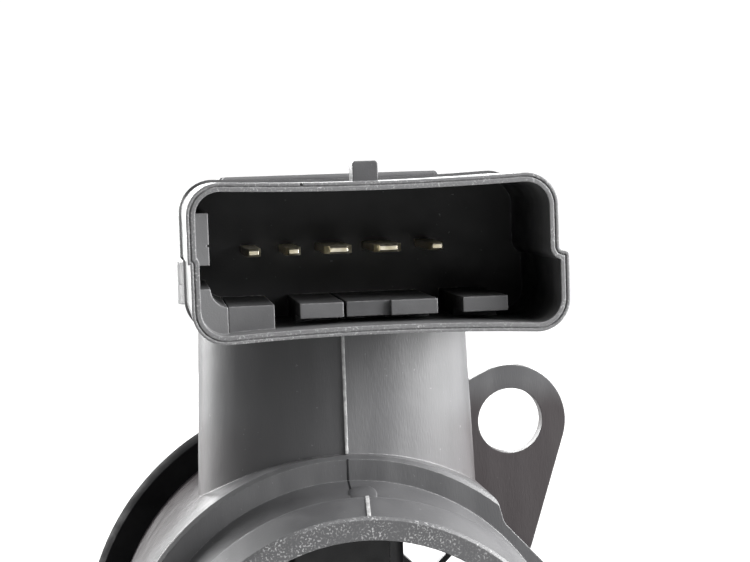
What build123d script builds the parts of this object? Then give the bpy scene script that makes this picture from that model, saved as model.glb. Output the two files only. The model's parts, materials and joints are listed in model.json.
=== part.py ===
from build123d import *
import os
from math import cos, radians, sin

# A mass airflow sensor: a moulded duct with a tower, and a sensing module that plugs into it.
# Millimetres. The origin is the centre of the outlet mouth. Y runs up the duct to the inlet,
# Z runs up the tower, and the connector opens towards -Y, the same way as the outlet.

os.makedirs("parts", exist_ok=True)

# Outlet spigot, with its hose bead
outlet_bore_r = 19.0
spigot_wall = 2.3
spigot_length = 13.4
rim_chamfer = 0.3
bead_height = 1.1
bead_crest_y = 4.2
bead_crest_length = 0.5
bead_back_length = 1.0
cove_length = 5.0
cove_rise = 1.3

# Duct body
shoulder_land = 2.6
shoulder_edge = 0.4
body_wall = 2.9
shoulder_thickness = 2.8
contraction_length = 6.5
body_length = 25.4

# Fixing lugs, a pair on opposite sides of the body
lug_angle = 49.1
lug_hole_reach = 33.0
lug_hole_r = 3.8
lug_rim = 2.75
lug_root_reach = 18.9
lug_root_r = 12.1
lug_thickness = 2.0
lug_setback = 1.8
lug_turns = (0, 180)
scoop_angle = 42.8
scoop_depth = 1.5
scoop_foot = 1.6
scoop_lip_angle = 12.6
scoop_lip_length = 1.64
scoop_corner_r = 2.0

# Inlet spigot, with its seal, grille and retaining ring
seal_width = 3.2
seal_seat_depth = 1.2
seal_reach = 3.4
seal_lip = 0.7
seal_relief_angle = 40.0
seal_relief_step = 0.6
inlet_wall = 1.6
inlet_length = 10.0
inlet_chamfer = 0.6
grille_seat_depth = 6.0
grille_step = 1.1
grille_fit = 0.15
grille_thickness = 2.4
grille_rim = 1.7
grille_bar = 0.7
grille_pitch = 6.0
grille_lean = 45.0
ring_thickness = 1.0
ring_groove_depth = 0.7
ring_height = 1.6
ring_gap_angle = 40.0
ring_gap_centre = -90.0

# Tower: two shallow curves meet in a ridge at the front and the back
tower_half_width = 14.4
tower_half_depth = 10.0
tower_ridge_shift = 3.3
tower_foot_z = 14.0
tower_foot_spread = 1.07
tower_foot_depth_spread = 0.4
tower_setback = 1.1
tower_top_z = 43.2
tower_flange_thickness = 2.2
opening_side_wall = 4.8
opening_end_wall = 2.2
opening_corner_r = 3.0

# Connector shroud
shroud_left = -16.0
shroud_right = 19.85
shroud_step = 0.95
shroud_left_step = 0.25
shroud_drop = 4.95
shroud_height = 15.8
shroud_step_height = 7.95
shroud_top_bow = 0.5
shroud_bottom_bow = 0.65
shroud_corner_r = 3.2
shroud_wall = 0.85
rim_groove_inset = 0.28
rim_groove_width = 0.14
rim_groove_depth = 0.12
shroud_step_flat = 0.05
shroud_back_setback = 4.0
shroud_back_wall = 2.1
collar_rise = 0.3
collar_width = 1.6
notch_clearance = 0.15

# Keys, ledges and the latch nub of the connector
key_depth = 1.3
key_low_height = 7.75
key_split_height = 9.6
key_high_height = 12.75
key_split_gap = 0.2
key_split_depth = 0.2
key_length = 16.0
corner_web_height = 5.45
corner_web_width = 2.9
corner_web_sag = 0.45
rim_nick_x = -5.0
rim_nick_width = 0.3
rim_nick_depth = 0.35
rim_nick_length = 1.2
ledge_height = 3.6
ledge_length = 14.8
ledge_nose_height = 1.45
ledge_undercut = 6.0
ledge_edges = [(-12.15, -7.7), (-5.2, -0.95), (-0.6, 3.75), (3.75, 8.35), (10.9, 15.35)]
dark_ledge = 2
dark_ledge_setback = 0.5
latch_x = 1.7
latch_width = 2.5
latch_length = 3.0
latch_setback = 14.0
latch_height = 2.0
latch_edge = 0.35

# Blade terminals
terminal_x = [-9.25, -5.25, -0.75, 4.25, 9.2]
narrow_blade = 1.5
wide_blade = 2.8
terminal_widths = [narrow_blade, narrow_blade, wide_blade, wide_blade, narrow_blade]
terminal_thickness = 0.8
terminal_height = 8.55
blade_length = 10.5
tip_taper_length = 1.1
tip_share = 0.62
tip_chamfer = 0.22
leg_width = 1.1
leg_rise_over_board = 1.0

# Module: flange, electronics box and cover
module_flange_overhang = 2.2
module_flange_thickness = 2.4
module_flange_corner_r = 3.5
box_side_wall = 2.8
box_length = 17.2
box_wall = 1.3
box_corner_r = 2.0
box_headroom = 2.3
floor_over_blades = 0.8
cover_thickness = 1.5
cover_edge = 0.5
cover_lip = 1.0
cover_fit = 0.15
board_ledge = 1.0
board_over_floor = 2.0
board_thickness = 1.0
board_fit = 0.2

# Module screws
screw_inset = 4.5
screw_setback = 1.0
screw_head_r = 2.7
screw_head_height = 1.9
screw_head_edge = 0.6
screw_shank_r = 1.3
screw_length = 10.0
screw_drive_r = 1.35
screw_drive_sides = 6
screw_drive_depth = 1.1
screw_hole_clearance = 0.3
screw_pocket_clearance = 0.6
pilot_clearance = 0.05
pilot_spare_depth = 1.0

# Stem, its seal, and the probe that hangs in the duct
stem_fit = 0.2
stem_reach_in = 2.1
stem_seal_depth = 10.2
stem_seal_size = 1.9
probe_half_width = 6.2
probe_length = 14.0
probe_bottom_z = -8.0
probe_edge_r = 1.0
probe_wall = 1.6
probe_cover_thickness = 1.6
probe_cover_drop = 3.2
fin_length = 5.0
channel_height = 7.2
slot_length = 7.4
slot_width = 3.2

# Sensing carrier, chip and air temperature sensor
carrier_thickness = 0.8
carrier_length = 6.6
carrier_bottom_z = -3.0
carrier_rise_over_board = 1.0
carrier_slot_fit = 0.1
carrier_setback = 2.2
chip_size = 3.0
chip_thickness = 0.45
bead_sensor_r = 1.3
bead_sensor_drop = 3.0
lead_r = 0.25
lead_spacing = 1.5
lead_bury = 2.5
lead_in_bead = 0.7

# Parts on the board
signal_chip_size = 6.4
signal_chip_height = 1.3
capacitor_length = 2.0
capacitor_width = 1.25
capacitor_height = 0.9
capacitor_pitch = 2.3
capacitor_count = 3
board_parts_setback = 1.4

# Places worked out from the sizes above
shroud_step_r = (shroud_step - shroud_step_flat) / 2
spigot_r = outlet_bore_r + spigot_wall
bead_r = spigot_r + bead_height
bead_back_y = bead_crest_y + bead_crest_length + bead_back_length
cove_start_y = spigot_length - cove_length
cove_r = spigot_r + cove_rise
body_r = cove_r + shoulder_land
body_inner_r = body_r - body_wall
contraction_end_y = spigot_length + shoulder_thickness
contraction_start_y = contraction_end_y - contraction_length
seal_front_y = spigot_length + body_length
seal_back_y = seal_front_y + seal_width
seal_seat_r = body_r - seal_seat_depth
seal_outer_r = body_r + seal_reach
inlet_end_y = seal_back_y + inlet_length
grille_seat_r = body_inner_r + grille_step
inlet_r = grille_seat_r + inlet_wall
grille_seat_y = inlet_end_y - grille_seat_depth
grille_back_y = grille_seat_y + grille_thickness
ring_back_y = grille_back_y + ring_thickness
ring_groove_r = grille_seat_r + ring_groove_depth
lug_back_y = seal_front_y - lug_setback
lug_front_y = lug_back_y - lug_thickness
lug_r = lug_hole_r + lug_rim
scoop_reach = body_r - scoop_depth

tower_front_y = spigot_length + tower_setback
tower_y = tower_front_y + tower_half_depth
opening_width = 2 * (tower_half_width - opening_side_wall)
opening_depth = 2 * (tower_half_depth - opening_end_wall)
shroud_back_y = tower_y - shroud_back_setback
shroud_cavity_depth = shroud_back_y - shroud_back_wall
shroud_bottom_z = tower_top_z - shroud_drop
shroud_step_z = shroud_bottom_z + shroud_step_height
key_front_y = shroud_cavity_depth - key_length
key_low_z = shroud_bottom_z + key_low_height
key_split_z = shroud_bottom_z + key_split_height
key_high_z = shroud_bottom_z + key_high_height
corner_web_z = shroud_bottom_z + corner_web_height
ledge_front_y = shroud_cavity_depth - ledge_length
ledge_top_z = shroud_bottom_z + ledge_height
latch_front_y = shroud_cavity_depth - latch_setback
terminal_z = shroud_bottom_z + terminal_height
terminal_tip_y = shroud_cavity_depth - blade_length
notch_z = shroud_bottom_z - collar_rise - notch_clearance
notch_y = shroud_back_y + notch_clearance
tower_flange_z = tower_top_z - tower_flange_thickness
flange_top_z = tower_top_z + module_flange_thickness
module_flange_half = tower_half_width + module_flange_overhang
box_half_width = tower_half_width - box_side_wall
box_floor_z = terminal_z + floor_over_blades
board_z = box_floor_z + board_over_floor
board_top_z = board_z + board_thickness
box_rim_z = board_top_z + box_headroom
box_front_y = shroud_back_y - box_wall
box_back_y = box_front_y + box_length
flange_back_y = box_back_y + notch_clearance
screw_x = module_flange_half - screw_inset
screw_y = tower_y + screw_setback
pocket_r = screw_head_r + screw_pocket_clearance
shroud_top_z = shroud_bottom_z + shroud_height
shroud_mid_x = (shroud_left + shroud_right) / 2
leg_y = box_front_y + box_wall + leg_width
carrier_y = tower_y + carrier_setback
board_parts_y = screw_y + board_parts_setback
stem_bottom_z = body_inner_r - stem_reach_in
stem_seal_z = tower_top_z - stem_seal_depth
probe_cover_x = probe_half_width - probe_cover_thickness
probe_cover_top_z = stem_bottom_z - probe_cover_drop
fin_bottom_z = probe_bottom_z - fin_length
bead_sensor_z = probe_bottom_z - bead_sensor_drop


def across(y):
    """A plane across the duct at y, with +Z up; extruding by a minus amount runs towards +Y."""
    return Plane.XZ.offset(-y)


def lug_point(reach, angle):
    """The point at that reach from the duct axis, in a plane across the duct."""
    return (reach * cos(radians(angle)), reach * sin(radians(angle)))


def scoop_point(side, reach, angle):
    """The point at that reach along the angle and that far to its side, in a plane across the duct."""
    along = lug_point(reach, angle)
    aside = lug_point(side, angle + 90)
    return (along[0] + aside[0], along[1] + aside[1])


# Profiles that more than one piece uses
with BuildSketch() as shroud_outline:
    lower_left = shroud_left + shroud_left_step
    lower_right = shroud_right + shroud_step
    with BuildLine():
        top = ThreePointArc(
            (shroud_left, shroud_top_z),
            (shroud_mid_x, shroud_top_z - shroud_top_bow),
            (shroud_right, shroud_top_z),
        )
        bottom = ThreePointArc(
            (lower_left, shroud_bottom_z),
            (shroud_mid_x, shroud_bottom_z + shroud_bottom_bow),
            (lower_right, shroud_bottom_z),
        )
        Polyline(
            top @ 1,
            (shroud_right, shroud_step_z),
            (lower_right, shroud_step_z),
            bottom @ 1,
        )
        Polyline(
            bottom @ 0,
            (lower_left, shroud_step_z),
            (shroud_left, shroud_step_z),
            top @ 0,
        )
    make_face()
    fillet(shroud_outline.vertices().filter_by(lambda v: abs(v.Y - shroud_step_z) > 1), shroud_corner_r)
    fillet(shroud_outline.vertices().filter_by(
        lambda v: abs(v.Y - shroud_step_z) < 0.1 and v.X > shroud_mid_x), shroud_step_r)

with BuildSketch() as rim_groove_core:
    add(shroud_outline.sketch)
    offset(amount=-(rim_groove_inset + rim_groove_width), mode=Mode.REPLACE)

with BuildSketch() as box_outline:
    with Locations((0, (box_front_y + box_back_y) / 2)):
        Rectangle(2 * box_half_width, box_length)
    fillet(box_outline.vertices(), box_corner_r)
    with Locations((-screw_x, screw_y), (screw_x, screw_y)):
        Circle(pocket_r, mode=Mode.SUBTRACT)

with BuildSketch() as stem_outline:
    with Locations((0, tower_y)):
        RectangleRounded(opening_width - 2 * stem_fit, opening_depth - 2 * stem_fit,
                         opening_corner_r - stem_fit)


# The duct: spigot, shoulder, body, tower, lugs and inlet spigot, moulded in one piece
with BuildPart() as duct_housing:
    with BuildSketch(Plane.XY):
        with BuildLine():
            to_cove = Polyline(
                (0, 0),
                (spigot_r - rim_chamfer, 0),
                (spigot_r, rim_chamfer),
                (bead_r, bead_crest_y),
                (bead_r, bead_crest_y + bead_crest_length),
                (spigot_r, bead_back_y),
                (spigot_r, cove_start_y),
            )
            cove = TangentArc(to_cove @ 1, (cove_r, spigot_length), tangent=(0, 1))
            Polyline(
                cove @ 1,
                (body_r - shoulder_edge, spigot_length),
                (body_r, spigot_length + shoulder_edge),
                (body_r, seal_front_y),
                (seal_seat_r, seal_front_y),
                (seal_seat_r, seal_back_y),
                (inlet_r, seal_back_y),
                (inlet_r, inlet_end_y - inlet_chamfer),
                (inlet_r - inlet_chamfer, inlet_end_y),
                (0, inlet_end_y),
                (0, 0),
            )
        make_face()
    revolve(axis=Axis.Y)

    # Scoops that leave room for a driver in front of each lug: a flat, and a slope up to a lip
    for turn in lug_turns:
        with BuildSketch(across(0)) as scoop:
            lip_side = body_r * sin(radians(scoop_lip_angle))
            lip_reach = body_r * cos(radians(scoop_lip_angle))
            run_side = scoop_lip_length * cos(radians(scoop_lip_angle))
            run_reach = scoop_lip_length * sin(radians(scoop_lip_angle))
            with BuildLine():
                Polyline(
                    scoop_point(-body_r, scoop_reach, scoop_angle + turn),
                    scoop_point(scoop_foot, scoop_reach, scoop_angle + turn),
                    scoop_point(lip_side - run_side, lip_reach + run_reach, scoop_angle + turn),
                    scoop_point(lip_side + run_side, lip_reach - run_reach, scoop_angle + turn),
                    scoop_point(lip_side + run_side, 2 * body_r, scoop_angle + turn),
                    scoop_point(-body_r, 2 * body_r, scoop_angle + turn),
                    scoop_point(-body_r, scoop_reach, scoop_angle + turn),
                )
            make_face()
            slope_ends = (
                scoop_point(scoop_foot, scoop_reach, scoop_angle + turn),
                scoop_point(lip_side - run_side, lip_reach + run_reach, scoop_angle + turn),
            )
            fillet(scoop.vertices().filter_by(
                lambda v: min(abs(v.X - x) + abs(v.Y - y) for x, y in slope_ends) < 0.01), scoop_corner_r)
        extrude(amount=-lug_back_y, mode=Mode.SUBTRACT)

    # Tower, drawn in towards its top, with the flange that carries the module
    tower_foot = (tower_foot_z, tower_foot_spread, tower_foot_depth_spread)
    tower_head = (tower_top_z, 0, 0)
    for level_z, spread, depth_spread in (tower_foot, tower_head):
        tower_r = tower_half_width + spread + tower_ridge_shift
        tower_b = (tower_half_depth + depth_spread) / (1 - (tower_ridge_shift / tower_r) ** 2) ** 0.5
        with BuildSketch(Plane.XY.offset(level_z)):
            with Locations((tower_ridge_shift, tower_y)):
                Ellipse(tower_r, tower_b)
            with Locations((-tower_ridge_shift, tower_y)):
                Ellipse(tower_r, tower_b, mode=Mode.INTERSECT)
    loft()
    with BuildSketch(Plane.XY.offset(tower_flange_z)):
        with Locations((0, (notch_y + flange_back_y) / 2)):
            RectangleRounded(2 * module_flange_half, flange_back_y - notch_y, module_flange_corner_r)
    extrude(amount=tower_flange_thickness)

    # Lugs
    for turn in lug_turns:
        with BuildSketch(across(lug_front_y)):
            with Locations(lug_point(lug_hole_reach, lug_angle + turn)):
                Circle(lug_r)
            with Locations(lug_point(lug_root_reach, lug_angle + turn)):
                Circle(lug_root_r)
            make_hull()
        extrude(amount=-lug_thickness)

    # The air path, from the outlet bore through the contraction to the grille seat
    with BuildSketch(Plane.XY):
        with BuildLine():
            Polyline(
                (0, 0),
                (outlet_bore_r, 0),
                (outlet_bore_r, contraction_start_y),
                (body_inner_r, contraction_end_y),
                (body_inner_r, grille_seat_y),
                (grille_seat_r, grille_seat_y),
                (grille_seat_r, grille_back_y),
                (ring_groove_r, grille_back_y),
                (ring_groove_r, ring_back_y),
                (grille_seat_r, ring_back_y),
                (grille_seat_r, inlet_end_y),
                (0, inlet_end_y),
                (0, 0),
            )
        make_face()
    revolve(axis=Axis.Y, mode=Mode.SUBTRACT)

    # Opening for the stem, and the step that the connector shroud sits over
    with BuildSketch(Plane.XY):
        with Locations((0, tower_y)):
            RectangleRounded(opening_width, opening_depth, opening_corner_r)
    extrude(amount=tower_top_z, mode=Mode.SUBTRACT)
    with BuildSketch(Plane.XY.offset(notch_z)):
        with Locations((0, notch_y / 2)):
            Rectangle(2 * module_flange_half, notch_y)
    extrude(amount=tower_top_z - notch_z, mode=Mode.SUBTRACT)

    # Lug holes and screw pilots
    for turn in lug_turns:
        with BuildSketch(across(lug_front_y)):
            with Locations(lug_point(lug_hole_reach, lug_angle + turn)):
                Circle(lug_hole_r)
        extrude(amount=-lug_thickness, mode=Mode.SUBTRACT)
    with BuildSketch(Plane.XY.offset(tower_top_z)):
        with Locations((-screw_x, screw_y), (screw_x, screw_y)):
            Circle(screw_shank_r + pilot_clearance)
    extrude(amount=-(screw_length - module_flange_thickness + pilot_spare_depth), mode=Mode.SUBTRACT)

# Ring seal round the inlet, with a lip at its outer edge
with BuildPart() as inlet_seal:
    with BuildSketch(Plane.XY):
        with BuildLine():
            seal_mid_y = (seal_front_y + seal_back_y) / 2
            front_lip = Polyline(
                (seal_seat_r, seal_front_y),
                (seal_outer_r - seal_lip, seal_front_y),
            )
            crest = ThreePointArc(
                front_lip @ 1,
                (seal_outer_r, seal_mid_y),
                (seal_outer_r - seal_lip, seal_back_y),
            )
            Polyline(crest @ 1, (seal_seat_r, seal_back_y), front_lip @ 0)
        make_face()
    revolve(axis=Axis.Y)

    # The lip is cut back beside each lug, where the bolt bosses of the mating part stand
    for turn in lug_turns:
        with BuildSketch(across(seal_front_y)):
            with BuildLine():
                cut_reach = 2 * seal_outer_r
                Polyline(
                    (0, 0),
                    lug_point(cut_reach, lug_angle + turn - seal_relief_angle),
                    lug_point(cut_reach, lug_angle + turn),
                    lug_point(cut_reach, lug_angle + turn + seal_relief_angle),
                    (0, 0),
                )
            make_face()
            Circle(body_r - seal_relief_step, mode=Mode.SUBTRACT)
        extrude(amount=-seal_width, mode=Mode.SUBTRACT)

# Grille of crossed bars in a rim
with BuildPart() as inlet_grille:
    with BuildSketch(across(grille_seat_y)) as grille_face:
        grille_r = grille_seat_r - grille_fit
        Circle(grille_r)
        Circle(grille_r - grille_rim, mode=Mode.SUBTRACT)
        bar_places = int(grille_r / grille_pitch)
        for lean in (grille_lean, -grille_lean):
            for step in range(-bar_places, bar_places + 1):
                shift = step * grille_pitch
                reach = 2 * ((grille_r - grille_rim / 2) ** 2 - shift**2) ** 0.5
                with Locations(Location((0, 0), lean) * Location((0, shift))):
                    Rectangle(reach, grille_bar)
    extrude(amount=-grille_thickness)

# Open snap ring that holds the grille
with BuildPart() as retaining_ring:
    with BuildSketch(across(grille_back_y)):
        Circle(ring_groove_r)
        Circle(ring_groove_r - ring_height, mode=Mode.SUBTRACT)
        with BuildLine():
            gap_reach = 2 * ring_groove_r
            Polyline(
                (0, 0),
                lug_point(gap_reach, ring_gap_centre - ring_gap_angle / 2),
                lug_point(gap_reach, ring_gap_centre + ring_gap_angle / 2),
                (0, 0),
            )
        make_face(mode=Mode.SUBTRACT)
    extrude(amount=-ring_thickness)

# Blade terminals: a tapered tip in the shroud, and a leg that rises through the board
terminals = []
for number, (x, width) in enumerate(zip(terminal_x, terminal_widths), start=1):
    with BuildPart() as terminal:
        low_z = terminal_z - terminal_thickness / 2
        with BuildSketch(Plane.XY.offset(low_z)):
            with BuildLine():
                tip = width * tip_share / 2
                Polyline(
                    (x - tip, terminal_tip_y),
                    (x + tip, terminal_tip_y),
                    (x + width / 2, terminal_tip_y + tip_taper_length),
                    (x + width / 2, leg_y),
                    (x - width / 2, leg_y),
                    (x - width / 2, terminal_tip_y + tip_taper_length),
                    (x - tip, terminal_tip_y),
                )
            make_face()
        extrude(amount=terminal_thickness)
        chamfer(terminal.edges().group_by(Axis.Y)[0].filter_by(Axis.X), tip_chamfer)
        with BuildSketch(Plane.XY.offset(low_z)):
            with Locations((x, leg_y + terminal_thickness / 2)):
                Rectangle(leg_width, terminal_thickness)
        extrude(amount=board_top_z + leg_rise_over_board - low_z)
    terminal.part.label = f"terminal_{number}"
    terminals.append(terminal.part)

# Two leads of the air temperature sensor
with BuildPart() as sensor_leads:
    with BuildSketch(Plane.XY.offset(bead_sensor_z + bead_sensor_r - lead_in_bead)):
        with Locations((0, tower_y - lead_spacing / 2), (0, tower_y + lead_spacing / 2)):
            Circle(lead_r)
    extrude(amount=bead_sensor_drop - bead_sensor_r + lead_in_bead + lead_bury)

# The module: connector shroud, flange and electronics box, moulded in one piece
with BuildPart() as module_body:
    with BuildSketch(across(0)):
        add(shroud_outline.sketch)
    extrude(amount=-shroud_back_y)
    with BuildSketch(across(shroud_back_y - collar_width)):
        add(shroud_outline.sketch)
    with BuildSketch(across(shroud_back_y - collar_width + collar_rise)):
        add(shroud_outline.sketch)
        offset(amount=collar_rise, mode=Mode.REPLACE)
    loft()
    with BuildSketch(across(shroud_back_y - collar_width + collar_rise)):
        add(shroud_outline.sketch)
        offset(amount=collar_rise, mode=Mode.REPLACE)
    extrude(amount=-(collar_width - collar_rise))
    with BuildSketch(across(0)):
        add(shroud_outline.sketch)
        offset(amount=-shroud_wall, mode=Mode.REPLACE)
    extrude(amount=-shroud_cavity_depth, mode=Mode.SUBTRACT)
    with BuildSketch(across(0)):
        add(shroud_outline.sketch)
        offset(amount=-rim_groove_inset, mode=Mode.REPLACE)
        add(rim_groove_core.sketch, mode=Mode.SUBTRACT)
    extrude(amount=-rim_groove_depth, mode=Mode.SUBTRACT)
    with BuildSketch(across(0)):
        with Locations((rim_nick_x, shroud_top_z - rim_nick_depth)):
            Rectangle(rim_nick_width, 2 * rim_nick_depth)
    extrude(amount=-rim_nick_length, mode=Mode.SUBTRACT)

    # Ledges on the floor of the shroud, each but the first undercut below its nose
    for place, (low_x, high_x) in enumerate(ledge_edges):
        nose_y = ledge_front_y + (dark_ledge_setback if place == dark_ledge else 0)
        foot_y = nose_y + (ledge_undercut if place > 0 else 0)
        nose_z = ledge_top_z - ledge_nose_height
        for front_y, low_z, high_z in ((nose_y, nose_z, ledge_top_z), (foot_y, shroud_bottom_z, nose_z)):
            with BuildSketch(across(front_y)):
                with BuildLine():
                    Polyline((low_x, low_z), (high_x, low_z), (high_x, high_z), (low_x, high_z),
                             (low_x, low_z))
                make_face()
                add(shroud_outline.sketch, mode=Mode.INTERSECT)
            extrude(amount=-(shroud_cavity_depth - front_y))

    # Keys on the left wall, and the web in the corner below them
    key_x = shroud_left + shroud_wall + key_depth
    with BuildSketch(across(key_front_y)):
        with BuildLine():
            Polyline((shroud_left, key_low_z), (key_x, key_low_z), (key_x, key_high_z),
                     (shroud_left, key_high_z), (shroud_left, key_low_z))
        make_face()
        with Locations((key_x, key_split_z)):
            Rectangle(2 * key_split_depth, key_split_gap, mode=Mode.SUBTRACT)
        with BuildLine():
            web_x = shroud_left + shroud_wall + corner_web_width
            web_curve = SagittaArc((key_x, corner_web_z), (web_x, ledge_top_z), -corner_web_sag)
            Polyline(web_curve @ 1, (web_x, shroud_bottom_z), (shroud_left, shroud_bottom_z),
                     (shroud_left, corner_web_z), web_curve @ 0)
        make_face()
        add(shroud_outline.sketch, mode=Mode.INTERSECT)
    extrude(amount=-(shroud_cavity_depth - key_front_y))

    # Latch nub on the roof of the shroud
    latch_root_z = shroud_top_z - shroud_top_bow - shroud_wall / 2
    latch_top_z = shroud_top_z - shroud_top_bow + latch_height
    with BuildSketch(across(latch_front_y)) as latch_face:
        with Locations((latch_x, (latch_root_z + latch_top_z) / 2)):
            Rectangle(latch_width, latch_top_z - latch_root_z)
        fillet(latch_face.vertices().group_by(Axis.Y)[-1], latch_edge)
    extrude(amount=-latch_length)

    # Flange and electronics box
    with BuildSketch(Plane.XY.offset(tower_top_z)):
        with Locations((0, (shroud_cavity_depth + flange_back_y) / 2)):
            RectangleRounded(2 * module_flange_half, flange_back_y - shroud_cavity_depth,
                             module_flange_corner_r)
    extrude(amount=module_flange_thickness)
    with BuildSketch(Plane.XY.offset(tower_top_z)):
        add(box_outline.sketch)
    extrude(amount=box_rim_z - tower_top_z)

    # Room for the board and what is under it
    with BuildSketch(Plane.XY.offset(box_floor_z)):
        add(box_outline.sketch)
        offset(amount=-(box_wall + board_ledge), mode=Mode.REPLACE)
    extrude(amount=board_z - box_floor_z, mode=Mode.SUBTRACT)
    with BuildSketch(Plane.XY.offset(board_z)):
        add(box_outline.sketch)
        offset(amount=-box_wall, mode=Mode.REPLACE)
    extrude(amount=box_rim_z - board_z, mode=Mode.SUBTRACT)

    # Slot for the carrier, screw holes, and the moulded-in terminals
    with BuildSketch(Plane.XY.offset(tower_top_z)):
        with Locations((0, carrier_y)):
            Rectangle(slot_width, slot_length)
    extrude(amount=box_floor_z - tower_top_z, mode=Mode.SUBTRACT)
    with BuildSketch(Plane.XY.offset(tower_top_z)):
        with Locations((-screw_x, screw_y), (screw_x, screw_y)):
            Circle(screw_shank_r + screw_hole_clearance)
    extrude(amount=module_flange_thickness, mode=Mode.SUBTRACT)
    for terminal_part in terminals:
        add(terminal_part, mode=Mode.SUBTRACT)

# The probe: a stem that fills the tower, and a blade with a sensing channel that hangs in the duct
with BuildPart() as sensor_probe:
    with BuildSketch(Plane.XY.offset(stem_bottom_z)):
        add(stem_outline.sketch)
    extrude(amount=tower_top_z - stem_bottom_z)
    with BuildSketch(Plane.XY.offset(notch_z)):
        with Locations((0, notch_y / 2)):
            Rectangle(opening_width, notch_y)
    extrude(amount=tower_top_z - notch_z, mode=Mode.SUBTRACT)
    with BuildSketch(Plane.XY.offset(probe_bottom_z)):
        with Locations((0, tower_y)):
            RectangleRounded(2 * probe_half_width, probe_length, probe_edge_r)
    extrude(amount=stem_bottom_z - probe_bottom_z)
    with BuildSketch(Plane.XY.offset(fin_bottom_z)):
        with Locations((-probe_half_width + probe_wall / 2, tower_y)):
            Rectangle(probe_wall, probe_length - 2 * probe_edge_r)
    extrude(amount=fin_length)

    # Seat for the probe cover, the sensing channel and the slot for the carrier
    with BuildSketch(Plane.YZ.offset(probe_cover_x)):
        with Locations((tower_y, (probe_bottom_z + probe_cover_top_z) / 2)):
            Rectangle(probe_length, probe_cover_top_z - probe_bottom_z)
    extrude(amount=probe_cover_thickness, mode=Mode.SUBTRACT)
    with BuildSketch(Plane.YZ.offset(-probe_half_width + probe_wall)):
        with Locations((tower_y, 0)):
            Rectangle(probe_length, channel_height)
        slot_top_z = probe_cover_top_z - probe_wall
        with Locations((carrier_y, slot_top_z / 2)):
            Rectangle(slot_length, slot_top_z)
    extrude(amount=probe_half_width - probe_wall + probe_cover_x, mode=Mode.SUBTRACT)
    with BuildSketch(Plane.XY):
        with Locations((0, carrier_y)):
            Rectangle(slot_width, slot_length)
    extrude(amount=tower_top_z, mode=Mode.SUBTRACT)

    # Groove for the stem seal, and the moulded-in leads
    with BuildSketch(Plane.XY.offset(stem_seal_z)):
        add(stem_outline.sketch)
        offset(amount=stem_fit - stem_seal_size, mode=Mode.SUBTRACT)
    extrude(amount=stem_seal_size, mode=Mode.SUBTRACT)
    add(sensor_leads.part, mode=Mode.SUBTRACT)

# Lid of the electronics box, with a lip that drops inside the wall
with BuildPart() as module_cover:
    with BuildSketch(Plane.XY.offset(box_rim_z)):
        add(box_outline.sketch)
        with Locations((0, (box_front_y + shroud_back_y + cover_fit) / 2)):
            Rectangle(2 * box_half_width, shroud_back_y + cover_fit - box_front_y, mode=Mode.SUBTRACT)
    extrude(amount=cover_thickness)
    fillet(module_cover.edges().group_by(Axis.Z)[-1], cover_edge)
    with BuildSketch(Plane.XY.offset(box_rim_z)):
        add(box_outline.sketch)
        offset(amount=-(box_wall + cover_fit), mode=Mode.REPLACE)
        with Locations((0, box_front_y + box_wall)):
            Rectangle(2 * box_half_width, 2 * cover_fit, mode=Mode.SUBTRACT)
    extrude(amount=-cover_lip)

# Ring seal in the groove of the stem
with BuildPart() as stem_seal:
    with BuildSketch(Plane.XY.offset(stem_seal_z)):
        add(stem_outline.sketch)
        offset(amount=stem_fit, mode=Mode.REPLACE)
    extrude(amount=stem_seal_size)
    with BuildSketch(Plane.XY.offset(stem_seal_z)):
        add(stem_outline.sketch)
        offset(amount=stem_fit - stem_seal_size, mode=Mode.REPLACE)
    extrude(amount=stem_seal_size, mode=Mode.SUBTRACT)

# The pair of screws that hold the module down
with BuildPart() as module_screws:
    with BuildSketch(Plane.XY.offset(flange_top_z)):
        with Locations((-screw_x, screw_y), (screw_x, screw_y)):
            Circle(screw_head_r)
    extrude(amount=screw_head_height)
    fillet(module_screws.edges().group_by(Axis.Z)[-1], screw_head_edge)
    with BuildSketch(Plane.XY.offset(flange_top_z + screw_head_height)):
        with Locations((-screw_x, screw_y), (screw_x, screw_y)):
            RegularPolygon(screw_drive_r, screw_drive_sides)
    extrude(amount=-screw_drive_depth, mode=Mode.SUBTRACT)
    with BuildSketch(Plane.XY.offset(flange_top_z)):
        with Locations((-screw_x, screw_y), (screw_x, screw_y)):
            Circle(screw_shank_r)
    extrude(amount=-screw_length)

# Cover plate of the probe, with the second guard fin
with BuildPart() as probe_cover:
    with BuildSketch(Plane.YZ.offset(probe_cover_x)):
        with Locations((tower_y, (probe_bottom_z + probe_cover_top_z) / 2)):
            Rectangle(probe_length, probe_cover_top_z - probe_bottom_z)
        with Locations((tower_y, (fin_bottom_z + probe_bottom_z) / 2)):
            Rectangle(probe_length - 2 * probe_edge_r, fin_length)
    extrude(amount=probe_cover_thickness)
    fillet(probe_cover.edges().filter_by(Axis.Z).group_by(Axis.X)[-1].filter_by(
        lambda e: e.center().Z > probe_bottom_z), probe_edge_r)

# Long thin plate that carries the sensing chip down into the channel
with BuildPart() as sensor_carrier:
    carrier_top_z = board_top_z + carrier_rise_over_board
    with BuildSketch(Plane.YZ.offset(-carrier_thickness / 2)):
        with Locations((carrier_y, (carrier_bottom_z + carrier_top_z) / 2)):
            Rectangle(carrier_length, carrier_top_z - carrier_bottom_z)
    extrude(amount=carrier_thickness)

# Hot-film chip, at the middle of the channel
with BuildPart() as sensing_chip:
    with BuildSketch(Plane.YZ.offset(carrier_thickness / 2)):
        with Locations((carrier_y, 0)):
            Rectangle(chip_size, chip_size)
    extrude(amount=chip_thickness)

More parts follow.
